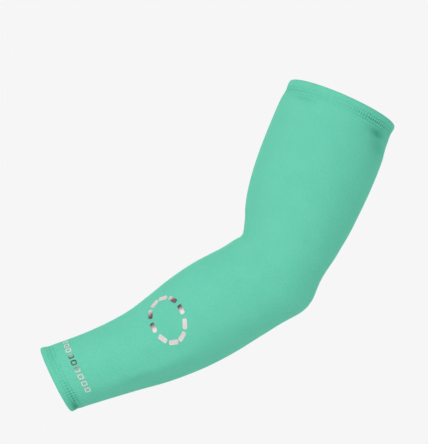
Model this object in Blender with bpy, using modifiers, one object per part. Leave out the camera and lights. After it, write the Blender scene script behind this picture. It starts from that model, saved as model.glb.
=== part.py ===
"""A compression arm sleeve: one tube of stretch knit, turned in and hemmed at both ends.

It stands in the shape that it takes on a bent arm. The bend lies in the XZ plane, with the elbow's
corner at the origin, the upper arm rising towards +X and +Z and the forearm dropping towards -X.
The printed side faces -Y.
"""

import math
from collections import namedtuple

import bmesh
import bpy
from mathutils import Matrix, Vector

# The arm's axis, in metres and degrees
FOREARM_LENGTH = 0.2262
UPPER_LENGTH = 0.168
ELBOW_RADIUS = 0.110
ELBOW_BEND = 41.0
UPPER_LEAN = 22.0

# The filled sleeve's width in the plane of the bend, and its depth across that plane
WRIST_WIDTH = 0.064
FOREARM_WIDTH = 0.0915
ELBOW_WIDTH = 0.0865
BICEPS_WIDTH = 0.110
WRIST_DEPTH = 0.049
FOREARM_DEPTH = 0.080
ELBOW_DEPTH = 0.079
BICEPS_DEPTH = 0.095

# The knit, its turned hems and the foil printed on it
WALL = 0.0010
HEM_HEIGHT = 0.0126
HEM_WALL = 0.0022
ROLL_FROM_RIM = 0.0030
ROLL_BREADTH = 0.0050
ROLL_RISE = 0.0005
STITCH_INSET = 0.0040
STITCH_BREADTH = 0.0070
STITCH_DROP = 0.0006
FIT_GAP = 0.0003
FOIL = 0.0003

# The dashed oval on the forearm: its size, its middle's place and its dashes
OVAL_LENGTH = 0.034
OVAL_BREADTH = 0.046
OVAL_FROM_WRIST = 0.1188
OVAL_TURN = 12.0
DASH_COUNT = 10
DASH_WIDTH = 0.0042
DASH_LENGTH = 0.0088
DASH_CORNER = 0.0013

# The row of small open squares round the wrist: each one's size, and the row's place
SQUARE_COUNT = 9
SQUARE_HEIGHT = 0.0052
SQUARE_WIDTH = 0.0044
SQUARE_STROKE = 0.0010
SQUARE_PITCH = 0.0064
SQUARES_FROM_WRIST = 0.0244
SQUARES_TURN = 12.0

# How fine the faceted solids are
SIDES = 40
RING_PITCH = 0.0100
ELBOW_RING_PITCH = 0.0055
HEM_RINGS = 4
FOLD_RINGS = 6
DASH_CUTS = 3

# The arm's form, from the wrist's rim at -1, past the middle of the elbow at 0, to the biceps' rim
# at 1. A section's size lies the given part of the way between two named girths, its shift towards
# the crook of the elbow is a share of its width, and its lean, in degrees, takes its crook side up
# the arm.
Section = namedtuple("Section", "along start end part shift lean")
SECTIONS = (
    Section(-1.00, "wrist", "forearm", 0.03, 0.056, 0.8),
    Section(-0.90, "wrist", "forearm", 0.02, 0.001, 0.6),
    Section(-0.80, "wrist", "forearm", 0.08, -0.051, 0.0),
    Section(-0.70, "wrist", "forearm", 0.20, -0.089, 0.0),
    Section(-0.60, "wrist", "forearm", 0.40, -0.109, 0.0),
    Section(-0.50, "wrist", "forearm", 0.65, -0.094, 0.0),
    Section(-0.40, "wrist", "forearm", 0.87, -0.070, 0.0),
    Section(-0.28, "wrist", "forearm", 0.97, -0.047, 0.0),
    Section(-0.14, "forearm", "elbow", 0.66, -0.034, 0.0),
    Section(0.00, "forearm", "elbow", 0.95, -0.042, 0.0),
    Section(0.10, "elbow", "biceps", 0.04, -0.029, 0.0),
    Section(0.20, "elbow", "biceps", 0.26, -0.013, 0.0),
    Section(0.32, "elbow", "biceps", 0.62, 0.000, 0.0),
    Section(0.45, "elbow", "biceps", 0.84, 0.006, 0.0),
    Section(0.60, "elbow", "biceps", 0.97, 0.006, 0.0),
    Section(0.78, "elbow", "biceps", 0.98, 0.006, 0.8),
    Section(0.90, "elbow", "biceps", 0.89, 0.010, 1.8),
    Section(1.00, "elbow", "biceps", 0.85, 0.004, 2.2),
)
GIRTHS = {
    "wrist": (WRIST_WIDTH, WRIST_DEPTH),
    "forearm": (FOREARM_WIDTH, FOREARM_DEPTH),
    "elbow": (ELBOW_WIDTH, ELBOW_DEPTH),
    "biceps": (BICEPS_WIDTH, BICEPS_DEPTH),
}

# Bumps and dents. Around is in degrees from the printed side, with the crook at 90 and the elbow's
# point at -90. Length and rise are shares of the named girth's width, and sweep is in degrees.
Dent = namedtuple("Dent", "name girth along around length sweep rise")
DENTS = (
    Dent("point of the elbow", "elbow", -0.02, -90, 0.105, 34, 0.056),
    Dent("hollow above the point", "elbow", 0.11, -90, 0.110, 30, -0.012),
    Dent("crease in the crook", "elbow", 0.03, 90, 0.085, 38, -0.030),
    Dent("hollow below the biceps hem", "biceps", 0.85, -60, 0.060, 20, -0.018),
    Dent("slack at the wrist's underside", "wrist", -0.945, -66, 0.060, 20, -0.018),
)

MINT = (0.159, 0.638, 0.456)
DEEP_MINT = (0.120, 0.540, 0.380)
SILVER = (0.62, 0.59, 0.58)
ACROSS = Vector((0.0, -1.0, 0.0))


def heading(angle):
    """The direction at this angle above +X, in the plane of the bend."""
    return Vector((math.cos(angle), 0.0, math.sin(angle)))


UPPER_ANGLE = math.radians(90.0 - UPPER_LEAN)
FOREARM_ANGLE = UPPER_ANGLE - math.radians(ELBOW_BEND)
MIDDLE_ANGLE = (UPPER_ANGLE + FOREARM_ANGLE) / 2
HALF_BEND = (UPPER_ANGLE - FOREARM_ANGLE) / 2
HALF_ARC = ELBOW_RADIUS * HALF_BEND
ARC_TO_CORNER = ELBOW_RADIUS * math.tan(HALF_BEND)
FOREARM_SPAN = FOREARM_LENGTH - ARC_TO_CORNER + HALF_ARC
UPPER_SPAN = UPPER_LENGTH - ARC_TO_CORNER + HALF_ARC


def span(along):
    return FOREARM_SPAN if along < 0 else UPPER_SPAN


def from_wrist(distance):
    """The place along the arm at this distance from the wrist's rim."""
    return distance / FOREARM_SPAN - 1.0


def from_biceps(distance):
    """The place along the arm at this distance from the biceps' rim."""
    return 1.0 - distance / UPPER_SPAN


def centreline(along):
    """The point on the arm's axis, and the direction towards the crook there."""
    travel = along * span(along)
    if abs(travel) <= HALF_ARC:
        angle = MIDDLE_ANGLE + travel / ELBOW_RADIUS
        crook = heading(angle + math.pi / 2)
        arc_centre = heading(MIDDLE_ANGLE + math.pi / 2) * (ELBOW_RADIUS / math.cos(HALF_BEND))
        return arc_centre - crook * ELBOW_RADIUS, crook
    angle = UPPER_ANGLE if along > 0 else FOREARM_ANGLE
    reach = ARC_TO_CORNER + abs(travel) - HALF_ARC
    return heading(angle) * math.copysign(reach, along), heading(angle + math.pi / 2)


def through(points, at):
    """The value at a place on a smooth curve through (place, value) points."""
    last = len(points) - 1
    i = max((k for k in range(last) if points[k][0] <= at), default=0)

    def slope(k):
        low, high = points[max(k - 1, 0)], points[min(k + 1, last)]
        return (high[1] - low[1]) / (high[0] - low[0])

    (x0, y0), (x1, y1) = points[i], points[i + 1]
    step = x1 - x0
    t = (at - x0) / step
    start = (1 + 2 * t) * (1 - t) ** 2 * y0 + t * (1 - t) ** 2 * step * slope(i)
    end = t * t * (3 - 2 * t) * y1 + t * t * (t - 1) * step * slope(i + 1)
    return start + end


def mixed(row, measure):
    """A section's width or depth, part of the way between its two girths."""
    start, end = GIRTHS[row.start][measure], GIRTHS[row.end][measure]
    return start + (end - start) * row.part


WIDTHS = [(row.along, mixed(row, 0)) for row in SECTIONS]
DEPTHS = [(row.along, mixed(row, 1)) for row in SECTIONS]
SHIFTS = [(row.along, mixed(row, 0) * row.shift) for row in SECTIONS]
LEANS = [(row.along, math.radians(row.lean)) for row in SECTIONS]


def bell(distance, size):
    """A soft bump that is 1 at its middle and fades over the given size."""
    return math.exp(-0.5 * (distance / size) ** 2)


def hem_relief(along):
    """How far the rolled edge stands out, or the stitched band is pulled in."""
    to_rim = (1.0 - abs(along)) * span(along)
    to_stitches = to_rim - (HEM_HEIGHT - STITCH_INSET)
    roll = ROLL_RISE * bell(to_rim - ROLL_FROM_RIM, ROLL_BREADTH / 2)
    return roll - STITCH_DROP * bell(to_stitches, STITCH_BREADTH / 2)


def relief(along, around):
    """How far bumps, dents and hems move the knit outwards from the plain form."""
    rise = hem_relief(along)
    for dent in DENTS:
        width = GIRTHS[dent.girth][0]
        turn = (math.degrees(around) - dent.around + 180.0) % 360.0 - 180.0
        off = (along - dent.along) * span(along)
        rise += dent.rise * width * bell(off, dent.length * width) * bell(turn, dent.sweep)
    return rise


def skin(along, around, lift=0.0):
    """A point of the knit's outer face. Around runs from the printed side towards the crook."""
    axis, crook = centreline(along)
    crook = Matrix.Rotation(-through(LEANS, along), 3, ACROSS) @ crook
    wide = through(WIDTHS, along) / 2
    deep = through(DEPTHS, along) / 2
    side, face = math.sin(around), math.cos(around)
    outward = (crook * (side / wide) + ACROSS * (face / deep)).normalized()
    form = axis + crook * (through(SHIFTS, along) + wide * side) + ACROSS * (deep * face)
    return form + outward * (relief(along, around) + lift)


def material(name, colour, roughness, metallic):
    made = bpy.data.materials.new(name)
    made.use_nodes = True
    shader = made.node_tree.nodes["Principled BSDF"]
    shader.inputs["Base Color"].default_value = (*colour, 1.0)
    shader.inputs["Roughness"].default_value = roughness
    shader.inputs["Metallic"].default_value = metallic
    made.diffuse_color = (*colour, 1.0)
    return made


def add_object(name, bm, collection, finish):
    """Links a finished bmesh as a named, smooth-shaded object."""
    mesh = bpy.data.meshes.new(name)
    bm.to_mesh(mesh)
    bm.free()
    mesh.shade_smooth()
    mesh.materials.append(finish)
    obj = bpy.data.objects.new(name, mesh)
    collection.objects.link(obj)
    return obj


def loft(rings, closed):
    """A bmesh through rings of points, whose last ring meets the first if it is closed."""
    bm = bmesh.new()
    loops = [[bm.verts.new(point) for point in ring] for ring in rings]
    pairs = list(zip(loops, loops[1:]))
    if closed:
        pairs.append((loops[-1], loops[0]))
    for low, high in pairs:
        for i in range(len(low)):
            j = (i + 1) % len(low)
            bm.faces.new((low[i], low[j], high[j], high[i]))
    return bm


def thicken(obj, thickness, side):
    """Gives an open surface its wall, outwards for side 1 and inwards for side -1."""
    solid = obj.modifiers.new("wall", "SOLIDIFY")
    solid.thickness = thickness
    solid.offset = side
    solid.use_even_offset = True
    return obj


def facing_out(bm):
    """Turns the faces of a tube or patch away from the arm's axis."""
    bm.normal_update()
    face = next(iter(bm.faces))
    middle = face.calc_center_median()
    axis = [centreline(along)[0] for along in stations(-1.0, 1.0)]
    nearest = min(axis, key=lambda point: (point - middle).length)
    if face.normal.dot(middle - nearest) < 0:
        bmesh.ops.reverse_faces(bm, faces=bm.faces[:])
    return bm


def ring(along, lift=0.0):
    return [skin(along, 2 * math.pi * k / SIDES, lift) for k in range(SIDES)]


def stations(low, high):
    """Places for the rings from low to high, closer together round the elbow."""
    places = []
    at = low
    while at < high:
        places.append(at)
        travel = abs(at) * span(at)
        pitch = ELBOW_RING_PITCH if travel < HALF_ARC else RING_PITCH
        at += pitch / span(at)
    if (high - places[-1]) * span(high) < ELBOW_RING_PITCH / 2:
        places.pop()
    return places + [high]


def sleeve_body(collection, knit):
    """The tube between the two hems, a wall thick."""
    low = from_wrist(HEM_HEIGHT + FIT_GAP)
    high = from_biceps(HEM_HEIGHT + FIT_GAP)
    tube = facing_out(loft([ring(at) for at in stations(low, high)], closed=False))
    return thicken(add_object("sleeve_body", tube, collection, knit), WALL, -1)


def hem_profile():
    """The turned hem's cut face, as pairs of distance from the rim and lift."""
    fold = HEM_WALL / 2
    flat = HEM_HEIGHT - fold
    outer = [(HEM_HEIGHT - flat * k / HEM_RINGS, 0.0) for k in range(HEM_RINGS)]
    turn = []
    for k in range(FOLD_RINGS + 1):
        angle = math.pi * k / FOLD_RINGS
        turn.append((fold - fold * math.sin(angle), fold * math.cos(angle) - fold))
    inner = [(fold + flat / 2, -HEM_WALL), (HEM_HEIGHT, -HEM_WALL)]
    return outer + turn + inner


def hem(name, place, collection, knit):
    """The end of the tube, turned in so that the knit lies double."""
    rings = [ring(place(distance), lift) for distance, lift in hem_profile()]
    band = loft(rings, closed=True)
    bmesh.ops.recalc_face_normals(band, faces=band.faces[:])
    return add_object(name, band, collection, knit)


def flat_strip(length, breadth):
    """A flat rectangle of foil, before it is laid on the knit."""
    bm = bmesh.new()
    bmesh.ops.create_grid(bm, x_segments=1, y_segments=1, size=0.5)
    bmesh.ops.scale(bm, vec=(length, breadth, 1.0), verts=bm.verts)
    return bm


def lay_foil(name, bm, to_skin, collection, foil):
    """Lays a flat piece of foil on the knit. to_skin gives the place of each of its points."""
    for vert in bm.verts:
        vert.co = to_skin(vert.co.x, vert.co.y)
    return thicken(add_object(name, facing_out(bm), collection, foil), FOIL, 1)


def on_knit(distance, turn, lengthwise, crosswise):
    """The point of the foil's underside that lies so far along and round from a place."""
    along = from_wrist(distance + lengthwise)
    radius = (through(WIDTHS, along) + through(DEPTHS, along)) / 4
    return skin(along, math.radians(turn) + crosswise / radius, FIT_GAP)


def oval_dash(number, collection, foil):
    """One dash of the oval on the forearm, laid along the oval's line."""
    angle = 2 * math.pi * number / DASH_COUNT
    half_length = (OVAL_LENGTH - DASH_WIDTH) / 2
    half_breadth = (OVAL_BREADTH - DASH_WIDTH) / 2
    middle = (half_length * math.cos(angle), half_breadth * math.sin(angle))
    aim = math.atan2(half_breadth * math.cos(angle), -half_length * math.sin(angle))

    dash = flat_strip(DASH_LENGTH, DASH_WIDTH)
    bmesh.ops.bevel(
        dash, geom=dash.verts[:], offset=DASH_CORNER, segments=2, affect="VERTICES", profile=0.5
    )
    for k in range(1, DASH_CUTS + 1):
        bmesh.ops.bisect_plane(
            dash,
            geom=dash.verts[:] + dash.edges[:] + dash.faces[:],
            plane_co=(DASH_LENGTH * (k / (DASH_CUTS + 1) - 0.5), 0.0, 0.0),
            plane_no=(1.0, 0.0, 0.0),
        )

    def to_skin(x, y):
        lengthwise = middle[0] + x * math.cos(aim) - y * math.sin(aim)
        crosswise = middle[1] + x * math.sin(aim) + y * math.cos(aim)
        return on_knit(OVAL_FROM_WRIST, OVAL_TURN, lengthwise, crosswise)

    return lay_foil(f"forearm_dash_{number + 1:02d}", dash, to_skin, collection, foil)


def wrist_square(number, collection, foil):
    """One of the small open squares in the row round the wrist."""
    offset = (number - (SQUARE_COUNT - 1) / 2) * SQUARE_PITCH
    square = flat_strip(SQUARE_WIDTH, SQUARE_HEIGHT)
    middle = square.faces[:]
    bmesh.ops.inset_region(
        square, faces=middle, thickness=SQUARE_STROKE, use_boundary=True, use_even_offset=True
    )
    bmesh.ops.delete(square, geom=middle, context="FACES")

    def to_skin(x, y):
        return on_knit(SQUARES_FROM_WRIST, SQUARES_TURN, y, offset + x)

    return lay_foil(f"wrist_square_{number + 1}", square, to_skin, collection, foil)


def build():
    for obj in list(bpy.data.objects):
        bpy.data.objects.remove(obj)
    collection = bpy.data.collections.new("compression_arm_sleeve")
    bpy.context.scene.collection.children.link(collection)
    knit = material("knit", MINT, 0.75, 0.0)
    hem_knit = material("hem_knit", DEEP_MINT, 0.75, 0.0)
    foil = material("foil", SILVER, 0.35, 0.9)

    sleeve_body(collection, knit)
    hem("wrist_hem", from_wrist, collection, hem_knit)
    hem("biceps_hem", from_biceps, collection, hem_knit)
    for number in range(DASH_COUNT):
        oval_dash(number, collection, foil)
    for number in range(SQUARE_COUNT):
        wrist_square(number, collection, foil)


build()
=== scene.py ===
"""The compression arm sleeve as it looks: stretch knit, turned and coverstitched hems, and pressed foil."""

import math
from collections import namedtuple
from functools import lru_cache

import bmesh
import bpy
from mathutils import Matrix, Vector


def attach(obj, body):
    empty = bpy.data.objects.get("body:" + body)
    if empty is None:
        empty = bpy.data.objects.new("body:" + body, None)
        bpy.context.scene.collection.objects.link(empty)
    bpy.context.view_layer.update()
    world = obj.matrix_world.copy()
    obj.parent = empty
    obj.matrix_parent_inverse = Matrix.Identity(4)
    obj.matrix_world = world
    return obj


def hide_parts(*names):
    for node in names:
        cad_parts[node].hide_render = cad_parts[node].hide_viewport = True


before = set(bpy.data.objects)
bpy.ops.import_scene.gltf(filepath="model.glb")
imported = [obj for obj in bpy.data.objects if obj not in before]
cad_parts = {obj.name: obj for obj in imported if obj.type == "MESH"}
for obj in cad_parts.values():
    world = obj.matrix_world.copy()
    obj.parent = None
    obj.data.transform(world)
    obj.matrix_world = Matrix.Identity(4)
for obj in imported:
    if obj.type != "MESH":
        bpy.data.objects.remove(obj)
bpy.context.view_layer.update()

# The arm's form, with the same values as the solids, in metres and degrees

FOREARM_LENGTH = 0.2262
UPPER_LENGTH = 0.168
ELBOW_RADIUS = 0.110
ELBOW_BEND = 41.0
UPPER_LEAN = 22.0
GIRTHS = {  # each part's width in the plane of the bend, and its depth across it
    "wrist": (0.064, 0.049),
    "forearm": (0.0915, 0.080),
    "elbow": (0.0865, 0.079),
    "biceps": (0.110, 0.095),
}
HEM_HEIGHT = 0.0126
HEM_WALL = 0.0022
ROLL_FROM_RIM = 0.0030
ROLL_BREADTH = 0.0050
ROLL_RISE = 0.0005
STITCH_INSET = 0.0040
STITCH_BREADTH = 0.0070
STITCH_DROP = 0.0006

Section = namedtuple("Section", "along start end part shift lean")
SECTIONS = (
    Section(-1.00, "wrist", "forearm", 0.03, 0.056, 0.8),
    Section(-0.90, "wrist", "forearm", 0.02, 0.001, 0.6),
    Section(-0.80, "wrist", "forearm", 0.08, -0.051, 0.0),
    Section(-0.70, "wrist", "forearm", 0.20, -0.089, 0.0),
    Section(-0.60, "wrist", "forearm", 0.40, -0.109, 0.0),
    Section(-0.50, "wrist", "forearm", 0.65, -0.094, 0.0),
    Section(-0.40, "wrist", "forearm", 0.87, -0.070, 0.0),
    Section(-0.28, "wrist", "forearm", 0.97, -0.047, 0.0),
    Section(-0.14, "forearm", "elbow", 0.66, -0.034, 0.0),
    Section(0.00, "forearm", "elbow", 0.95, -0.042, 0.0),
    Section(0.10, "elbow", "biceps", 0.04, -0.029, 0.0),
    Section(0.20, "elbow", "biceps", 0.26, -0.013, 0.0),
    Section(0.32, "elbow", "biceps", 0.62, 0.000, 0.0),
    Section(0.45, "elbow", "biceps", 0.84, 0.006, 0.0),
    Section(0.60, "elbow", "biceps", 0.97, 0.006, 0.0),
    Section(0.78, "elbow", "biceps", 0.98, 0.006, 0.8),
    Section(0.90, "elbow", "biceps", 0.89, 0.010, 1.8),
    Section(1.00, "elbow", "biceps", 0.85, 0.004, 2.2),
)
Dent = namedtuple("Dent", "name girth along around length sweep rise")
DENTS = (
    Dent("point of the elbow", "elbow", -0.02, -90, 0.105, 34, 0.056),
    Dent("hollow above the point", "elbow", 0.11, -90, 0.110, 30, -0.012),
    Dent("crease in the crook", "elbow", 0.03, 90, 0.085, 38, -0.030),
    Dent("hollow below the biceps hem", "biceps", 0.85, -60, 0.060, 20, -0.018),
    Dent("slack at the wrist's underside", "wrist", -0.945, -66, 0.060, 20, -0.018),
)
ACROSS = Vector((0.0, -1.0, 0.0))


def heading(angle):
    """The direction at this angle above +X, in the plane of the bend."""
    return Vector((math.cos(angle), 0.0, math.sin(angle)))


UPPER_ANGLE = math.radians(90.0 - UPPER_LEAN)
FOREARM_ANGLE = UPPER_ANGLE - math.radians(ELBOW_BEND)
MIDDLE_ANGLE = (UPPER_ANGLE + FOREARM_ANGLE) / 2
HALF_BEND = (UPPER_ANGLE - FOREARM_ANGLE) / 2
HALF_ARC = ELBOW_RADIUS * HALF_BEND
ARC_TO_CORNER = ELBOW_RADIUS * math.tan(HALF_BEND)
FOREARM_SPAN = FOREARM_LENGTH - ARC_TO_CORNER + HALF_ARC
UPPER_SPAN = UPPER_LENGTH - ARC_TO_CORNER + HALF_ARC


def span(along):
    """How long the half of the arm is that this place lies on."""
    return FOREARM_SPAN if along < 0 else UPPER_SPAN


def from_wrist(distance):
    """The place along the arm at this distance from the wrist's rim, which may lie past the elbow."""
    travel = distance - FOREARM_SPAN
    return travel / span(travel)


def from_biceps(distance):
    """The place along the arm at this distance from the biceps rim."""
    return 1.0 - distance / UPPER_SPAN


def centreline(along):
    """The point on the arm's axis, and the direction towards the crook of the elbow there."""
    travel = along * span(along)
    if abs(travel) <= HALF_ARC:
        angle = MIDDLE_ANGLE + travel / ELBOW_RADIUS
        crook = heading(angle + math.pi / 2)
        arc_centre = heading(MIDDLE_ANGLE + math.pi / 2) * (ELBOW_RADIUS / math.cos(HALF_BEND))
        return arc_centre - crook * ELBOW_RADIUS, crook
    angle = UPPER_ANGLE if along > 0 else FOREARM_ANGLE
    reach = ARC_TO_CORNER + abs(travel) - HALF_ARC
    return heading(angle) * math.copysign(reach, along), heading(angle + math.pi / 2)


def through(points, at):
    """The value at a place on a smooth curve through (place, value) points."""
    last = len(points) - 1
    i = max((k for k in range(last) if points[k][0] <= at), default=0)

    def slope(k):
        low, high = points[max(k - 1, 0)], points[min(k + 1, last)]
        return (high[1] - low[1]) / (high[0] - low[0])

    (x0, y0), (x1, y1) = points[i], points[i + 1]
    gap = x1 - x0
    t = (at - x0) / gap
    start = (1 + 2 * t) * (1 - t) ** 2 * y0 + t * (1 - t) ** 2 * gap * slope(i)
    end = t * t * (3 - 2 * t) * y1 + t * t * (t - 1) * gap * slope(i + 1)
    return start + end


def mixed(row, measure):
    """A section's width (0) or depth (1), between those of its two named parts."""
    start, end = GIRTHS[row.start][measure], GIRTHS[row.end][measure]
    return start + (end - start) * row.part


WIDTHS = [(row.along, mixed(row, 0)) for row in SECTIONS]
DEPTHS = [(row.along, mixed(row, 1)) for row in SECTIONS]
SHIFTS = [(row.along, mixed(row, 0) * row.shift) for row in SECTIONS]
LEANS = [(row.along, math.radians(row.lean)) for row in SECTIONS]

# What the cloth does that the solids leave smooth, in metres and degrees

# Small folds and hollows: distance is from the rim that place measures from, length and sweep are how
# soon each one fades, along the arm and round it, and the last column is how much painted shade
# darkens its bottom
Fold = namedtuple("Fold", "name place distance around length sweep rise shade")
FOLDS = (
    Fold("swell below the biceps hem", from_biceps, 0.0128, 36, 0.0009, 14, 0.0004, 0.0),
    Fold("crease below that swell", from_biceps, 0.0151, 37, 0.0012, 11, -0.0012, 0.14),
    Fold("slack below that crease", from_biceps, 0.0180, 38, 0.0028, 12, -0.0008, 0.0),
    Fold("hollow below the biceps hem", from_biceps, 0.0172, -60, 0.0029, 10, -0.0034, 0.68),
    Fold("slack below that hollow", from_biceps, 0.0270, -66, 0.0070, 9, -0.0016, 0.32),
    Fold("biceps rim drawn in at the crook", from_biceps, 0.0030, 88, 0.0060, 22, -0.0006, 0.0),
    Fold("pinch in the wrist hem", from_wrist, 0.0064, -78, 0.0018, 15, -0.0010, 0.95),
    Fold("fullness beside that pinch", from_wrist, 0.0105, -92, 0.0030, 18, 0.0007, 0.0),
    Fold("slack along the forearm's underside", from_wrist, 0.0850, -72, 0.0360, 12, -0.0028, 0.0),
    Fold("edge of that slack", from_wrist, 0.0850, -43, 0.0320, 9, 0.0013, 0.0),
    Fold("dimple in that slack", from_wrist, 0.0720, -54, 0.0150, 9, -0.0010, 0.0),
)

CLOTH = 0.0008
NEEDLE_ROWS = (0.0059, 0.0088, 0.0117)
NEEDLE_PITCH = 0.00265
NEEDLE_DEPTHS = (0.00040, 0.00072, 0.00045)
NEEDLE_SPREAD = 0.00052
RIB_RISE = 0.00022
RIM_ROUND = 0.0024
RIM_DROP = 0.0006
ROW_DROP = 0.00005
# The ribs between the needle holes fade from this far inside the outer rows to this far outside them
RIB_INSIDE = 0.0003
RIB_OUTSIDE = 0.0006
RIB_BIAS = 0.5
# The biceps hem was turned up unevenly: its stitches lie furthest from the rim at the crook, and
# nearest to it on the printed side
HEM_SLIDE = 0.0013
CROOK_SLIDE = 0.0008
FRONT_SLIDE = -0.0013
FRONT_SWEEP = 26.0
SLIDE_START = 0.0010
SLIDE_WHOLE = 0.0055
SLIDE_REACH = 0.040
SEAM_BREADTH = 0.0056
SEAM_RISE = 0.0003
SEAM_SHOULDER = 0.0012
SEAM_GROOVE = 0.0004
SEAM_GROOVE_BREADTH = 0.0005
NEGLIGIBLE = 1e-7

Hem = namedtuple("Hem", "name place stitches")
WRIST_HEM = Hem("wrist", from_wrist, 67)
BICEPS_HEM = Hem("biceps", from_biceps, 117)

# How hard the coverstitch draws a hem in: a little all round, and more where the arm fills it less.
# Around and sweep are where that is and how soon it fades, in degrees
LEAST_BITE = 0.2
Bite = namedtuple("Bite", "name around sweep strength")
BITES = (
    Bite("towards the crook", 56.0, 24.0, 0.5),
    Bite("slack underside", -51.0, 21.0, 1.1),
    Bite("far side", 180.0, 50.0, 0.5),
)


def bell(distance, size):
    """A soft bump that is 1 at its middle and fades over the given size."""
    return math.exp(-0.5 * (distance / size) ** 2)


def step(low, high, at):
    """Rises smoothly from 0 at low to 1 at high."""
    t = min(max((at - low) / (high - low), 0.0), 1.0)
    return t * t * (3 - 2 * t)


@lru_cache(maxsize=None)
def section(along):
    """All that one ring of the form needs: its middle, the direction towards the crook, half its width
    and depth, how far it rises all round, its dents and folds, and its share of the stitches' slide."""
    axis, crook = centreline(along)
    crook = Matrix.Rotation(-through(LEANS, along), 3, ACROSS) @ crook
    to_rim = (1.0 - abs(along)) * span(along)
    to_stitches = to_rim - (HEM_HEIGHT - STITCH_INSET)
    roll = ROLL_RISE * bell(to_rim - ROLL_FROM_RIM, ROLL_BREADTH / 2)
    drop = STITCH_DROP * bell(to_stitches, STITCH_BREADTH / 2)
    drop += RIM_DROP * max(0.0, 1.0 - to_rim / RIM_ROUND) ** 2
    bumps = []
    for dent in DENTS:
        width = GIRTHS[dent.girth][0]
        off = (along - dent.along) * span(along)
        rise = dent.rise * width * bell(off, dent.length * width)
        bumps.append((dent.around, dent.sweep, rise, 0.0))
    for fold in FOLDS:
        off = (along - fold.place(fold.distance)) * span(along)
        near = bell(off, fold.length)
        # Each fold also carries its painted shade, which fades along the arm with it
        bumps.append((fold.around, fold.sweep, fold.rise * near, fold.shade * near))
    bumps = [bump for bump in bumps if abs(bump[2]) > NEGLIGIBLE]
    slide = 0.0
    if along > 0:
        slide = step(SLIDE_START, SLIDE_WHOLE, to_rim)
        slide *= 1.0 - step(HEM_HEIGHT, SLIDE_REACH, to_rim)
    wide, deep = through(WIDTHS, along) / 2, through(DEPTHS, along) / 2
    return axis + crook * through(SHIFTS, along), crook, wide, deep, roll - drop, bumps, slide


def girth_radius(along):
    """The mean radius, which turns an angle round the arm into a distance."""
    return (through(WIDTHS, along) + through(DEPTHS, along)) / 4


def turned(around, place):
    """How far round from a place in degrees this angle lies, the short way."""
    return (math.degrees(around) - place + 180.0) % 360.0 - 180.0


def painted_fold_shade(along, around):
    """How much painted shade darkens the cloth here for lying in a fold, from 0 to 1."""
    bumps = section(along)[5]
    return max((deep * bell(turned(around, at), sweep) for at, sweep, _, deep in bumps), default=0.0)


def seam_relief(along, around):
    """The flat seam on the far side: two cut edges that meet in a low, broad ridge."""
    off = (math.pi - abs(around)) * girth_radius(along)
    ridge = 1.0 - step(SEAM_BREADTH / 2, SEAM_BREADTH / 2 + SEAM_SHOULDER, off)
    return SEAM_RISE * ridge - SEAM_GROOVE * bell(off, SEAM_GROOVE_BREADTH)


def skin(along, around, lift=0.0):
    """A point of the cloth's outer face. Around runs from the printed side towards the crook."""
    middle, crook, wide, deep, rise, bumps, slide = section(along)
    side, face = math.sin(around), math.cos(around)
    outward = (crook * (side / wide) + ACROSS * (face / deep)).normalized()
    for place, sweep, height, _ in bumps:
        rise += height * bell(turned(around, place), sweep)
    rise += seam_relief(along, around)
    if slide:
        from_rim = Vector((-crook.z, 0.0, crook.x))
        front = FRONT_SLIDE * bell(turned(around, 0.0), FRONT_SWEEP)
        middle = middle + from_rim * slide * (HEM_SLIDE + CROOK_SLIDE * side + front)
    return middle + crook * (wide * side) + ACROSS * (deep * face) + outward * (rise + lift)


def bite(around):
    """How hard the coverstitch draws a hem in at this angle round it."""
    return LEAST_BITE + sum(
        spot.strength * bell(turned(around, spot.around), spot.sweep) for spot in BITES
    )


def stitched(hem, distance, around):
    """How far the coverstitch moves a hem's face, with a pit at each needle hole and ribs between
    them, and how much painted shade the place gets for lying in a pit or a fold, from 0 to 1."""
    phase = around * hem.stitches / (2 * math.pi)
    along = hem.place(distance)
    off = (phase - round(phase)) * 2 * math.pi / hem.stitches * girth_radius(along)
    first, last = NEEDLE_ROWS[0], NEEDLE_ROWS[-1]
    inside = step(first - RIB_OUTSIDE, first + RIB_INSIDE, distance)
    inside *= 1.0 - step(last - RIB_INSIDE, last + RIB_OUTSIDE, distance)
    rise = RIB_RISE * inside * (RIB_BIAS - math.cos(2 * math.pi * phase)) / (1 + RIB_BIAS)
    pit = 0.0
    for row, depth in zip(NEEDLE_ROWS, NEEDLE_DEPTHS):
        away = bell(distance - row, NEEDLE_SPREAD)
        pit = max(pit, away * bell(off, NEEDLE_SPREAD) * depth / max(NEEDLE_DEPTHS))
        rise -= ROW_DROP * away
    draw = bite(around)
    # Painted shade: darker in the needle holes, more so where the stitch draws harder, and in the folds
    shade = max(min(draw * pit, 1.0), painted_fold_shade(along, around))
    return draw * (rise - max(NEEDLE_DEPTHS) * pit), shade


# Small tools


def srgb(code):
    """An sRGB hex colour as the linear colour that a shader takes."""
    parts = [int(code[k : k + 2], 16) / 255 for k in (1, 3, 5)]
    return (*(c / 12.92 if c <= 0.04045 else ((c + 0.055) / 1.055) ** 2.4 for c in parts), 1.0)


def add_node(tree, kind, inputs=(), **settings):
    """Adds a shader node. Inputs pairs a socket's name or number with a value or with what feeds it."""
    made = tree.nodes.new("ShaderNode" + kind)
    for name, value in settings.items():
        setattr(made, name, value)
    for key, value in dict(inputs).items():
        if isinstance(value, bpy.types.NodeSocket):
            tree.links.new(value, made.inputs[key])
        else:
            made.inputs[key].default_value = value
    return made


def new_material(name):
    """A material and its node tree, with nothing but an unlinked Principled shader and the output."""
    made = bpy.data.materials.new(name)
    made.use_nodes = True
    tree = made.node_tree
    return made, tree, tree.nodes["Principled BSDF"]


def only(*objects):
    """Selects these objects alone, the first of them active."""
    bpy.ops.object.select_all(action="DESELECT")
    for obj in objects:
        obj.select_set(True)
    bpy.context.view_layer.objects.active = objects[0]


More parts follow.
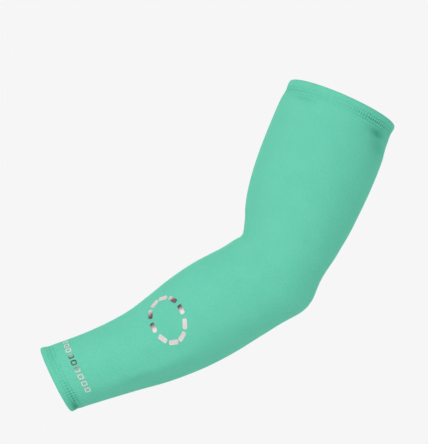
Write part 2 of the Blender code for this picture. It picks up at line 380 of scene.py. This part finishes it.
def apply_modifier(obj, kind, **settings):
    """Adds a modifier and makes its result the object's own mesh."""
    only(obj)
    modifier = obj.modifiers.new(kind.lower(), kind)
    for name, value in settings.items():
        setattr(modifier, name, value)
    bpy.ops.object.modifier_apply(modifier=modifier.name)


def finished(obj, name, material, nodes=()):
    """Names a piece, gives it its material and ties it to the frame."""
    obj.name = obj.data.name = name
    obj.data.materials.clear()
    obj.data.materials.append(material)
    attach(obj, "root")
    if nodes:
        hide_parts(*nodes)
    return obj


# Materials

# A noise's size is given as how many of its patches make a metre
WALE_PITCH = 0.0021
COURSE_PITCH = 0.0017
FUZZ_TUFTS = 620.0  # brushed tufts 1.6 mm apart, drawn coarser than real ones, so that they show
DYE_PATCHES = 46.0  # the dye drifts over some 22 mm
THREAD_PLIES = 1500.0  # a yarn's plies, 0.7 mm apart
FOIL_GRAINS = (1000.0, 520.0)  # grains 1 mm by 2 mm, drawn coarser than real ones, so that they show
FOIL_PATCHES = 130.0  # the film's tone drifts over some 8 mm
# Where the foil's painted reflection band is darkest, and how far from it it fades out
REFLECTION_BAND_START = 0.0030
REFLECTION_BAND_REACH = 0.0100


def stretch_knit(name, light, dark, hollow):
    """Polyester and elastane knit, dyed mint and brushed soft: fine columns of V-shaped loops with a
    matt face. Real columns are 0.5 mm apart. Here they are four times as coarse, so that they show."""
    made, tree, shader = new_material(name)
    cloth = add_node(tree, "UVMap", uv_map="cloth")
    rows = add_node(
        tree,
        "Mapping",
        {"Vector": cloth.outputs[0], "Scale": (1 / WALE_PITCH, 1 / COURSE_PITCH, 1.0)},
    )
    split = add_node(tree, "SeparateXYZ", {0: rows.outputs[0]})
    leg = add_node(tree, "Math", {0: split.outputs[0], 1: 0.5}, operation="PINGPONG")
    slant = add_node(
        tree,
        "Math",
        {0: leg.outputs[0], 1: 1.5, 2: split.outputs[1]},
        operation="MULTIPLY_ADD",
    )
    turn = add_node(tree, "Math", {0: slant.outputs[0], 1: 2 * math.pi}, operation="MULTIPLY")
    loops = add_node(tree, "Math", {0: turn.outputs[0]}, operation="SINE")
    column = add_node(tree, "Math", {0: leg.outputs[0], 1: 2.4}, operation="MULTIPLY")
    height = add_node(
        tree,
        "Math",
        {0: loops.outputs[0], 1: 0.35, 2: column.outputs[0]},
        operation="MULTIPLY_ADD",
    )
    place = add_node(tree, "TexCoord")
    fuzz = add_node(
        tree,
        "TexNoise",
        {"Vector": place.outputs["Object"], "Scale": FUZZ_TUFTS, "Detail": 3.0, "Roughness": 0.65},
    )
    bloom = add_node(
        tree,
        "TexNoise",
        {"Vector": place.outputs["Object"], "Scale": DYE_PATCHES, "Detail": 2.0, "Roughness": 0.5},
    )
    grain = add_node(
        tree,
        "Math",
        {0: height.outputs[0], 1: 0.12, 2: fuzz.outputs[0]},
        operation="MULTIPLY_ADD",
    )
    tone = add_node(
        tree,
        "Math",
        {0: bloom.outputs[0], 1: 0.4, 2: grain.outputs[0]},
        operation="MULTIPLY_ADD",
    )
    share = add_node(
        tree,
        "MapRange",
        {"Value": tone.outputs[0], "From Min": 0.42, "From Max": 1.02, "To Min": 0.0, "To Max": 1.0},
    )
    dyed = add_node(
        tree,
        "Mix",
        {0: share.outputs[0], 6: srgb(dark), 7: srgb(light)},
        data_type="RGBA",
    )
    # Painted shade: the hollow attribute mixes the colour towards the hollow colour in needle holes and
    # folds
    low = add_node(tree, "Attribute", attribute_name="hollow")
    depth = add_node(tree, "Math", {0: low.outputs["Fac"], 1: 0.80}, operation="MULTIPLY")
    colour = add_node(
        tree,
        "Mix",
        {0: depth.outputs[0], 6: dyed.outputs[2], 7: srgb(hollow)},
        data_type="RGBA",
    )
    rough = add_node(
        tree,
        "MapRange",
        {"Value": fuzz.outputs[0], "To Min": 0.62, "To Max": 0.82},
    )
    soft = add_node(
        tree,
        "Math",
        {0: fuzz.outputs[0], 1: 0.5, 2: height.outputs[0]},
        operation="MULTIPLY_ADD",
    )
    bump = add_node(
        tree,
        "Bump",
        {"Height": soft.outputs[0], "Strength": 0.22, "Distance": 0.00025},
    )
    tree.links.new(colour.outputs[2], shader.inputs["Base Color"])
    tree.links.new(rough.outputs[0], shader.inputs["Roughness"])
    tree.links.new(bump.outputs[0], shader.inputs["Normal"])
    shader.inputs["Specular IOR Level"].default_value = 0.20
    shader.inputs["Sheen Weight"].default_value = 0.90
    shader.inputs["Sheen Roughness"].default_value = 0.30
    shader.inputs["Sheen Tint"].default_value = srgb("#8CFFDC")
    return made


def sewing_thread(name, light, dark):
    """Textured polyester thread, dyed to match: a soft yarn that is a little paler on its crowns."""
    made, tree, shader = new_material(name)
    place = add_node(tree, "TexCoord")
    plies = add_node(
        tree,
        "TexNoise",
        {
            "Vector": place.outputs["Object"],
            "Scale": THREAD_PLIES,
            "Detail": 2.0,
            "Roughness": 0.6,
        },
    )
    colour = add_node(
        tree,
        "Mix",
        {0: plies.outputs[0], 6: srgb(dark), 7: srgb(light)},
        data_type="RGBA",
    )
    bump = add_node(
        tree, "Bump", {"Height": plies.outputs[0], "Strength": 0.3, "Distance": 0.0001}
    )
    tree.links.new(colour.outputs[2], shader.inputs["Base Color"])
    tree.links.new(bump.outputs[0], shader.inputs["Normal"])
    shader.inputs["Roughness"].default_value = 0.55
    shader.inputs["Sheen Weight"].default_value = 0.25
    shader.inputs["Sheen Roughness"].default_value = 0.4
    return made


def pressed_foil(name, light, dark):
    """Aluminium transfer foil, heat-pressed on the knit: satin grey metal with the knit's fine grain.
    It is pale, with one soft dark band across each group of marks: a painted reflection, as a flat metal
    film reflects."""
    made, tree, shader = new_material(name)
    flat = add_node(tree, "UVMap", uv_map="foil")
    sized = add_node(tree, "Mapping", {"Vector": flat.outputs[0], "Scale": (*FOIL_GRAINS, 1.0)})
    grains = add_node(
        tree, "TexNoise", {"Vector": sized.outputs[0], "Scale": 1.0, "Detail": 3.0, "Roughness": 0.6}
    )
    drift = add_node(
        tree,
        "TexNoise",
        {"Vector": flat.outputs[0], "Scale": FOIL_PATCHES, "Detail": 1.0, "Roughness": 0.5},
    )
    # Painted reflection: a soft dark band across each group of marks, darkest near the foil UV's middle
    # line
    split = add_node(tree, "SeparateXYZ", {0: flat.outputs[0]})
    from_band = add_node(tree, "Math", {0: split.outputs[1]}, operation="ABSOLUTE")
    band = add_node(
        tree,
        "MapRange",
        {
            "Value": from_band.outputs[0],
            "From Min": REFLECTION_BAND_START,
            "From Max": REFLECTION_BAND_REACH,
            "To Max": 0.85,
        },
        interpolation_type="SMOOTHSTEP",
    )
    grainy = add_node(
        tree,
        "Math",
        {0: grains.outputs[0], 1: 0.75, 2: band.outputs[0]},
        operation="MULTIPLY_ADD",
    )
    tone = add_node(
        tree,
        "Math",
        {0: drift.outputs[0], 1: 0.45, 2: grainy.outputs[0]},
        operation="MULTIPLY_ADD",
    )
    share = add_node(
        tree, "MapRange", {"Value": tone.outputs[0], "From Min": 0.54, "From Max": 1.46}
    )
    colour = add_node(
        tree, "Mix", {0: share.outputs[0], 6: srgb(dark), 7: srgb(light)}, data_type="RGBA"
    )
    rough = add_node(
        tree, "MapRange", {"Value": grains.outputs[0], "To Min": 0.58, "To Max": 0.78}
    )
    bump = add_node(
        tree, "Bump", {"Height": grains.outputs[0], "Strength": 0.15, "Distance": 0.00005}
    )
    tree.links.new(colour.outputs[2], shader.inputs["Base Color"])
    tree.links.new(rough.outputs[0], shader.inputs["Roughness"])
    tree.links.new(bump.outputs[0], shader.inputs["Normal"])
    shader.inputs["Metallic"].default_value = 0.7
    return made


# Each knit's last colour is the painted shade in its folds and needle holes
KNIT = stretch_knit("stretch_knit_mint", "#68CCB0", "#5CC1A4", "#148769")
HEM_KNIT = stretch_knit("turned_hem_knit_mint", "#68CCB0", "#5CC1A4", "#0A8264")
THREAD = sewing_thread("polyester_thread_mint", "#66D2B0", "#4FBF9B")
# The foil's dark colour serves both its random grain and its painted reflection band
FOIL_MARK = pressed_foil("pressed_foil_silver", "#E0DDDB", "#474240")

# Cloth: how closely its rows and columns lie, in metres and degrees. Small folds need close rows

ROW_PITCH = 0.0026
CLOSE_ROW_PITCH = 0.0007
CLOSE_ROWS = 0.040  # how far from the biceps rim they reach
COLUMN_STEP = 2.4
CLOSE_COLUMN_STEP = 0.8
CLOSE_COLUMNS = 10.0  # how far they reach on each side of the seam
STITCHED_BAND = 0.0048  # where it begins, from the rim
STITCHED_ROW_PITCH = 0.00046
PLAIN_ROW_PITCH = 0.0008
INNER_STITCHED_ROW_PITCH = 0.0006
INNER_ROW_PITCH = 0.0012
RAW_EDGE = 0.0003  # how far the turned layer stops short of the outer one
ROLL_STEPS = 8
COLUMNS_PER_STITCH = 6
HEM_MIDDLE = 0.0060
MERGE = 1e-6


def wrapped(name, distances, angles, point, flat_place):
    """A sheet of cloth wrapped into a tube that is joined on the far side. Point gives the place of
    each row and column and its painted shade for lying in a pit or a fold, and flat_place its place
    on the flat cloth, in metres."""
    rows, columns = len(distances) - 1, len(angles) - 1
    bpy.ops.mesh.primitive_grid_add(x_subdivisions=columns, y_subdivisions=rows, size=1.0)
    obj = bpy.context.object
    bm = bmesh.new()
    bm.from_mesh(obj.data)
    cloth = bm.loops.layers.uv.active
    # The hollow attribute holds each vertex's painted shade, for pits and folds
    hollow = bm.verts.layers.float.new("hollow")
    for vert in bm.verts:
        i = round((vert.co.x + 0.5) * columns)
        j = round((vert.co.y + 0.5) * rows)
        vert.co, vert[hollow] = point(distances[j], angles[i])
        for loop in vert.link_loops:
            loop[cloth].uv = flat_place(distances[j], angles[i])
    bmesh.ops.remove_doubles(bm, verts=bm.verts, dist=MERGE)
    bm.normal_update()
    bm.to_mesh(obj.data)
    bm.free()
    obj.data.uv_layers[0].name = "cloth"
    obj.name = name
    return obj


def walled(obj):
    """Gives the sheet the cloth's thickness, on the side away from its faces, and smooths it."""
    apply_modifier(
        obj, "SOLIDIFY", thickness=CLOTH, offset=-1.0, use_even_offset=True, use_rim=True
    )
    only(obj)
    bpy.ops.object.shade_smooth_by_angle(angle=math.radians(50.0))
    return obj


def spread(low, high, pitch):
    """Evenly spaced values from low to high, about a pitch apart."""
    count = max(1, round(abs(high - low) / pitch))
    return [low + (high - low) * k / count for k in range(count + 1)]


def sleeve_cloth():
    """The tube between the hems. Its columns crowd together at the seam on the far side."""
    total = FOREARM_SPAN + UPPER_SPAN
    distances = spread(HEM_HEIGHT, total - CLOSE_ROWS, ROW_PITCH)
    distances += spread(total - CLOSE_ROWS, total - HEM_HEIGHT, CLOSE_ROW_PITCH)[1:]
    near_seam = math.radians(180.0 - CLOSE_COLUMNS)
    close = spread(math.pi, near_seam, math.radians(CLOSE_COLUMN_STEP))
    wide = spread(near_seam, -near_seam, math.radians(COLUMN_STEP))
    angles = close + wide[1:] + [-angle for angle in reversed(close[:-1])]

    def flat_place(distance, around):
        return around * girth_radius(from_wrist(distance)), distance

    def point(distance, around):
        along = from_wrist(distance)
        # The second value is the painted shade of the folds here
        return skin(along, around), painted_fold_shade(along, around)

    obj = wrapped("sleeve_cloth", distances, angles, point, flat_place)
    return finished(walled(obj), "sleeve_cloth", KNIT, ["sleeve_body"])


def hem_path():
    """The turned cloth's path: down the outer face, round the rim and up the inside."""
    fold = HEM_WALL / 2
    outer = spread(HEM_HEIGHT, STITCHED_BAND, STITCHED_ROW_PITCH)
    outer += spread(STITCHED_BAND, fold, PLAIN_ROW_PITCH)[1:]
    path = [(distance, 0.0) for distance in outer]
    for k in range(1, ROLL_STEPS + 1):
        angle = math.pi * k / ROLL_STEPS
        path.append((fold - fold * math.sin(angle), fold * math.cos(angle) - fold))
    inner = spread(fold, STITCHED_BAND, INNER_ROW_PITCH)[1:]
    inner += spread(STITCHED_BAND, HEM_HEIGHT - RAW_EDGE, INNER_STITCHED_ROW_PITCH)[1:]
    return path + [(distance, -HEM_WALL) for distance in inner]


def hem_cloth(hem):
    """A turned hem, with the coverstitch's pits and ribs in both of its layers."""
    path = hem_path()
    lengths = [0.0]
    for (d0, l0), (d1, l1) in zip(path, path[1:]):
        lengths.append(lengths[-1] + math.hypot(d1 - d0, l1 - l0))
    places = dict(zip(lengths, path))
    columns = hem.stitches * COLUMNS_PER_STITCH
    angles = [math.pi - 2 * math.pi * k / columns for k in range(columns + 1)]

    def point(length, around):
        distance, lift = places[length]
        # Pit is the painted shade of the needle holes and folds here
        worked, pit = stitched(hem, distance, around)
        lift += worked if lift == 0 else -0.5 * worked
        return skin(hem.place(distance), around, lift), pit

    def flat_place(length, around):
        return around * girth_radius(hem.place(HEM_MIDDLE)), length

    obj = wrapped(hem.name, lengths, angles, point, flat_place)
    if hem is WRIST_HEM:
        # Its rim lies at the arm's other end, so its faces start out turned inwards
        obj.data.flip_normals()
    return finished(
        walled(obj), f"{hem.name}_hem_cloth", HEM_KNIT, [f"{hem.name}_hem"]
    )


# Sewing thread

THREAD_SIZE = 0.00022
THREAD_PROUD = -0.00005
THREAD_SIDES = 6
ARCH_STEPS = 6
STITCH_OVERLAP = 1.02  # each stitch's share of its pitch, so that it meets the next one
NEEDLE_ARCH = 0.00002
LOOPER_REACH = 1.08  # the looper's share of the band between the outer needle rows
LOOPER_ARCH = 0.0003
COVER_GAP = 0.0001
SEAM_COVER_ARCH = 0.00035
SEAM_EDGE_ARCH = 0.00045
SEAM_EDGE_ROWS = 0.9  # their distance, as a share of the seam's breadth
SEAM_END = 0.003  # how far from each rim the seam's threads end


def arched_thread(chord, rise):
    """One stretch of thread in a low arch along X: a ring of it spun round a far centre and closed."""
    radius = (chord**2 / 4 + rise**2) / (2 * rise)
    half = math.asin(chord / 2 / radius)
    bpy.ops.object.select_all(action="DESELECT")
    bpy.ops.mesh.primitive_circle_add(
        vertices=THREAD_SIDES,
        radius=THREAD_SIZE / 2,
        location=(-chord / 2, 0.0, 0.0),
        rotation=(0.0, math.pi / 2 - half, 0.0),
        enter_editmode=True,
    )
    bpy.ops.mesh.select_all(action="SELECT")
    bpy.ops.mesh.spin(
        steps=ARCH_STEPS, angle=-2 * half, center=(0.0, 0.0, rise - radius), axis=(0.0, 1.0, 0.0)
    )
    bpy.ops.mesh.select_all(action="SELECT")
    bpy.ops.mesh.remove_doubles(threshold=MERGE)
    bpy.ops.mesh.fill_holes(sides=THREAD_SIDES)
    bpy.ops.mesh.select_all(action="SELECT")
    bpy.ops.mesh.normals_make_consistent(inside=False)
    bpy.ops.object.mode_set(mode="OBJECT")
    only(bpy.context.object)
    bpy.ops.object.transform_apply(location=True, rotation=True, scale=True)
    return bpy.context.object


def laid(obj, point):
    """Moves each vertex of a flat piece to the place that point gives it, and turns faces outwards."""
    for vert in obj.data.vertices:
        vert.co = point(*vert.co)
    obj.data.update()
    only(obj)
    bpy.ops.object.mode_set(mode="EDIT")
    bpy.ops.mesh.select_all(action="SELECT")
    bpy.ops.mesh.normals_make_consistent(inside=False)
    bpy.ops.object.mode_set(mode="OBJECT")
    bpy.ops.object.shade_smooth_by_angle(angle=math.radians(60.0))
    return obj


def copied(obj, count, offset):
    """Repeats the mesh in a row, each copy moved on by the offset."""
    apply_modifier(
        obj,
        "ARRAY",
        count=count,
        use_relative_offset=False,
        use_constant_offset=True,
        constant_offset_displace=offset,
    )


def needle_threads(hem):
    """Three rows of straight stitches round a hem, which dip with the cloth at each needle hole."""
    obj = arched_thread(NEEDLE_PITCH * STITCH_OVERLAP, NEEDLE_ARCH)
    copied(obj, hem.stitches, (NEEDLE_PITCH, 0.0, 0.0))
    copied(obj, len(NEEDLE_ROWS), (0.0, NEEDLE_ROWS[1] - NEEDLE_ROWS[0], 0.0))

    def point(x, y, z):
        around = math.pi - (x / NEEDLE_PITCH + 0.5) * 2 * math.pi / hem.stitches
        distance = NEEDLE_ROWS[0] + y
        nearest_row = min(NEEDLE_ROWS, key=lambda row: abs(row - distance))
        worked, _ = stitched(hem, nearest_row, around)
        return skin(hem.place(distance), around, worked + z + THREAD_PROUD)

    return finished(laid(obj, point), f"{hem.name}_needle_threads", THREAD)


def zigzag(breadth, pitch, rise):
    """Two threads that cross a band there and back, as one unit of a looper's cover."""
    threads = []
    for side in (1.0, -1.0):
        obj = arched_thread(math.hypot(breadth, pitch / 2), rise)
        obj.rotation_euler.z = side * math.atan2(breadth, pitch / 2)
        obj.location.x = -side * pitch / 4
        only(obj)
        bpy.ops.object.transform_apply(location=True, rotation=True, scale=True)
        threads.append(obj)
    only(*threads)
    bpy.ops.object.join()
    return threads[0]


def looper_threads(hem):
    """The cover of looper thread inside a hem, which runs to and fro over the raw edge."""
    breadth = NEEDLE_ROWS[-1] - NEEDLE_ROWS[0]
    obj = zigzag(breadth * LOOPER_REACH, NEEDLE_PITCH, LOOPER_ARCH)
    copied(obj, hem.stitches, (NEEDLE_PITCH, 0.0, 0.0))

    def point(x, y, z):
        around = math.pi - (x / NEEDLE_PITCH + 0.5) * 2 * math.pi / hem.stitches
        return skin(hem.place(NEEDLE_ROWS[1] + y), around, -HEM_WALL - z - COVER_GAP)

    return finished(laid(obj, point), f"{hem.name}_looper_threads", THREAD)


def seam_threads():
    """The flat seam's cover on the far side: crossing threads held by a row of stitches at each edge."""
    length = FOREARM_SPAN + UPPER_SPAN - 2 * SEAM_END
    count = round(length / NEEDLE_PITCH)
    pitch = length / count
    cover = zigzag(SEAM_BREADTH, pitch, SEAM_COVER_ARCH)
    edges = arched_thread(pitch * STITCH_OVERLAP, SEAM_EDGE_ARCH)
    copied(edges, 2, (0.0, SEAM_BREADTH * SEAM_EDGE_ROWS, 0.0))
    edges.location.y = -SEAM_BREADTH * SEAM_EDGE_ROWS / 2
    only(edges)
    bpy.ops.object.transform_apply(location=True, rotation=True, scale=True)
    only(cover, edges)
    bpy.ops.object.join()
    copied(cover, count, (pitch, 0.0, 0.0))

    def point(x, y, z):
        along = from_wrist(SEAM_END + x + pitch / 2)
        around = math.pi - y / girth_radius(along)
        lift = SEAM_RISE - seam_relief(along, min(around, 2 * math.pi - around))
        return skin(along, around, lift + z - COVER_GAP)

    return finished(laid(cover, point), "seam_threads", THREAD)


# Pressed foil

FOIL = 0.00012
FOIL_LIFT = 0.00006
OVAL_LENGTH = 0.034
OVAL_BREADTH = 0.046
DASH_COUNT = 10
DASH_WIDTH = 0.0042
DASH_LENGTH = 0.0088
DASH_CORNER = 0.0013
SQUARE_COUNT = 9
SQUARE_HEIGHT = 0.0052
SQUARE_WIDTH = 0.0044
SQUARE_STROKE = 0.0010
SQUARE_CORNER = 0.00105
SQUARE_PITCH = 0.0064
CORNER_STEPS = 4
DASH_CUTS = 7

# Where a group of marks is, how far round in degrees, and where round it the dark band of painted
# reflection lies
Spot = namedtuple("Spot", "distance turn dark")
OVAL = Spot(0.1188, 12.0, 0.0070)
SQUARES = Spot(0.0244, 12.0, 0.0010)


def foil_shape(length, breadth, corner):
    """A flat mark of foil with rounded corners, its own flat place kept as its UV map."""
    bpy.ops.object.select_all(action="DESELECT")
    bpy.ops.mesh.primitive_plane_add(size=1.0, enter_editmode=True)
    bpy.ops.mesh.select_all(action="SELECT")
    bpy.ops.transform.resize(value=(length, breadth, 1.0))
    bpy.ops.mesh.bevel(offset=corner, segments=CORNER_STEPS, profile=0.5, affect="VERTICES")
    return bpy.context.object


def sliced(length, cuts):
    """Cuts the mesh in edit mode across X at even steps, so that it can bend."""
    for k in range(1, cuts + 1):
        bpy.ops.mesh.select_all(action="SELECT")
        bpy.ops.mesh.bisect(
            plane_co=(length * (k / (cuts + 1) - 0.5), 0.0, 0.0), plane_no=(1.0, 0.0, 0.0)
        )


def pressed(shape, name, spot, flat_place, node):
    """Copies a flat foil shape, lays the copy on the cloth and gives it the film's thickness."""
    mesh = shape.data.copy()
    obj = bpy.data.objects.new(name, mesh)
    bpy.context.collection.objects.link(obj)
    flat = mesh.uv_layers[0]
    flat.name = "foil"
    laid_out = [flat_place(vert.co.x, vert.co.y) for vert in mesh.vertices]
    for loop in mesh.loops:
        lengthwise, crosswise = laid_out[loop.vertex_index]
        # The foil UV's second coordinate is measured from the painted reflection's dark band
        flat.data[loop.index].uv = (lengthwise, crosswise - spot.dark)
    for vert, (lengthwise, crosswise) in zip(mesh.vertices, laid_out):
        along = from_wrist(spot.distance + lengthwise)
        around = math.radians(spot.turn) + crosswise / girth_radius(along)
        vert.co = skin(along, around, FOIL_LIFT)
    mesh.update()
    if mesh.polygons[0].normal.dot(ACROSS) < 0:
        mesh.flip_normals()
    apply_modifier(obj, "SOLIDIFY", thickness=FOIL, offset=1.0, use_even_offset=True)
    only(obj)
    bpy.ops.object.shade_smooth_by_angle(angle=math.radians(40.0))
    return finished(obj, name, FOIL_MARK, [node])


def forearm_dashes():
    """Ten rounded dashes that make a dashed oval on the forearm."""
    shape = foil_shape(DASH_LENGTH, DASH_WIDTH, DASH_CORNER)
    sliced(DASH_LENGTH, DASH_CUTS)
    bpy.ops.object.mode_set(mode="OBJECT")
    half_length = (OVAL_LENGTH - DASH_WIDTH) / 2
    half_breadth = (OVAL_BREADTH - DASH_WIDTH) / 2
    made = []
    for number in range(DASH_COUNT):
        angle = 2 * math.pi * number / DASH_COUNT
        middle = Vector((half_length * math.cos(angle), half_breadth * math.sin(angle)))
        aim = math.atan2(half_breadth * math.cos(angle), -half_length * math.sin(angle))

        def flat_place(x, y):
            return middle + Matrix.Rotation(aim, 2) @ Vector((x, y))

        name = f"dash_{number + 1:02d}"
        made.append(pressed(shape, f"foil_{name}", OVAL, flat_place, f"forearm_{name}"))
    bpy.data.objects.remove(shape)
    return made


def wrist_squares():
    """Nine small open squares in a row round the wrist."""
    shape = foil_shape(SQUARE_WIDTH, SQUARE_HEIGHT, SQUARE_CORNER)
    bpy.ops.mesh.select_mode(type="FACE")
    bpy.ops.mesh.select_all(action="SELECT")
    bpy.ops.mesh.inset(thickness=SQUARE_STROKE, use_boundary=True, use_even_offset=True)
    bpy.ops.mesh.delete(type="FACE")
    bpy.ops.object.mode_set(mode="OBJECT")
    made = []
    for number in range(SQUARE_COUNT):
        offset = (number - (SQUARE_COUNT - 1) / 2) * SQUARE_PITCH

        def flat_place(x, y):
            return y, offset + x

        name = f"square_{number + 1}"
        made.append(pressed(shape, f"foil_{name}", SQUARES, flat_place, f"wrist_{name}"))
    bpy.data.objects.remove(shape)
    return made


# The pieces. A cut size is about a fifth smaller than the size on the arm, because the knit stretches

WRIST_CUT = 0.152
BICEPS_CUT = 0.268

foil = forearm_dashes() + wrist_squares()
body_cloth = sleeve_cloth()
seam = seam_threads()
for hem, girth in ((WRIST_HEM, WRIST_CUT), (BICEPS_HEM, BICEPS_CUT)):
    band = hem_cloth(hem)
    threads = [needle_threads(hem), looper_threads(hem)]

# Floor, light and camera

FLOOR_HEIGHT = -0.5
FLOOR_SIZE = 24.0
FLOOR_FIBRES = 30.0
FLOOR_GLOW = 0.32  # lifts the paper to the backdrop's tone for the eye, and lights nothing
BACKDROP = "#F6F6F6"
AMBIENT = 0.577

# Square area lights that face the sleeve. Azimuth 0 is in front of it and 90 at its right
Light = namedtuple("Light", "name azimuth elevation distance size power colour")
LIGHTS = (
    Light("key", -35.0, 20.0, 2.0, 1.2, 18.4, "#FFEFF1"),
    Light("fill", 40.0, 20.0, 2.0, 1.2, 5.9, "#FFFFFF"),
    Light("left_rim", -115.0, -15.0, 2.0, 1.2, 4.5, "#FFFFFF"),
    Light("back", -150.0, 55.0, 2.0, 1.2, 3.2, "#FFFFFF"),
    Light("right_rim", 132.0, -28.0, 2.0, 1.2, 6.6, "#FFFFFF"),
    Light("low", 40.0, -50.0, 0.62, 0.4, 0.5, "#FFFFFF"),
)


def floor():
    """A wide sheet of pale matt paper, far below the sleeve."""
    bpy.ops.object.select_all(action="DESELECT")
    bpy.ops.mesh.primitive_plane_add(size=FLOOR_SIZE, location=(0.0, 0.0, FLOOR_HEIGHT))
    obj = bpy.context.object
    obj.name = "floor"
    made, tree, shader = new_material("matt_paper_floor")
    place = add_node(tree, "TexCoord")
    fibres = add_node(
        tree, "TexNoise", {"Vector": place.outputs["Object"], "Scale": FLOOR_FIBRES}
    )
    colour = add_node(
        tree, "Mix", {0: fibres.outputs[0], 6: srgb("#ECECEA"), 7: srgb("#F2F2F1")}, data_type="RGBA"
    )
    ray = add_node(tree, "LightPath")
    glow = add_node(
        tree, "Math", {0: ray.outputs["Is Camera Ray"], 1: FLOOR_GLOW}, operation="MULTIPLY"
    )
    tree.links.new(colour.outputs[2], shader.inputs["Base Color"])
    tree.links.new(colour.outputs[2], shader.inputs["Emission Color"])
    tree.links.new(glow.outputs[0], shader.inputs["Emission Strength"])
    shader.inputs["Roughness"].default_value = 0.9
    obj.data.materials.append(made)


def studio_world():
    """An even pale surround: the camera sees the backdrop's colour, and the sleeve a dimmer light."""
    world = bpy.data.worlds.new("studio")
    bpy.context.scene.world = world
    world.use_nodes = True
    tree = world.node_tree
    tree.nodes.clear()
    ray = add_node(tree, "LightPath")
    soft = add_node(tree, "Background", {"Color": srgb("#F9FFFF"), "Strength": AMBIENT})
    seen = add_node(tree, "Background", {"Color": srgb(BACKDROP), "Strength": 1.0})
    mix = add_node(
        tree,
        "MixShader",
        {0: ray.outputs["Is Camera Ray"], 1: soft.outputs[0], 2: seen.outputs[0]},
    )
    add_node(tree, "OutputWorld", {0: mix.outputs[0]})


def seen_from(azimuth, elevation):
    """The direction from the sleeve to an eye or a light at these angles, in degrees."""
    a, e = math.radians(azimuth), math.radians(elevation)
    return Vector((math.sin(a) * math.cos(e), -math.cos(a) * math.cos(e), math.sin(e)))


def aimed(obj, place, back):
    """Adds a light or a camera at a place, turned to look the opposite way to back."""
    bpy.context.collection.objects.link(obj)
    obj.location = place
    obj.rotation_mode = "QUATERNION"
    obj.rotation_quaternion = back.to_track_quat("Z", "Y")


def soft_light(row):
    """One of the studio's lights, which the camera doesn't see."""
    light = bpy.data.lights.new(row.name, "AREA")
    light.shape = "SQUARE"
    light.size = row.size
    light.energy = row.power
    light.color = srgb(row.colour)[:3]
    obj = bpy.data.objects.new(row.name, light)
    back = seen_from(row.azimuth, row.elevation)
    aimed(obj, back * row.distance, back)
    obj.visible_camera = False


# The camera looks along the photographed direction, from below the elbow's height and above the
# floor. A pixel of the 428 by 444 frame is 0.92 mm at the sleeve.
FRAME = (428, 444)
PIXEL = 0.00092
VIEW_DISTANCE = 2.0
VIEW_AZIMUTH = 4.577
VIEW_ELEVATION = -8.901
ELBOW_IN_FRAME = (275.5, 270.5)
SENSOR = 36.0
FAR_CLIP = 50.0


def camera():
    """A camera that puts the elbow's corner at its pixel and a pixel at its size on the sleeve."""
    back = seen_from(VIEW_AZIMUTH, VIEW_ELEVATION)
    right = Vector((-back.y, back.x, 0.0)).normalized()
    up = back.cross(right)
    across = (ELBOW_IN_FRAME[0] - FRAME[0] / 2) * PIXEL
    down = (ELBOW_IN_FRAME[1] - FRAME[1] / 2) * PIXEL
    target = up * down - right * across
    data = bpy.data.cameras.new("camera")
    data.sensor_width = SENSOR
    data.lens = SENSOR * VIEW_DISTANCE / (max(FRAME) * PIXEL)
    data.clip_end = FAR_CLIP
    obj = bpy.data.objects.new("camera", data)
    aimed(obj, target + back * VIEW_DISTANCE, back)
    bpy.context.scene.camera = obj


floor()
studio_world()
for row in LIGHTS:
    soft_light(row)
camera()
bpy.context.scene.view_settings.view_transform = "Standard"
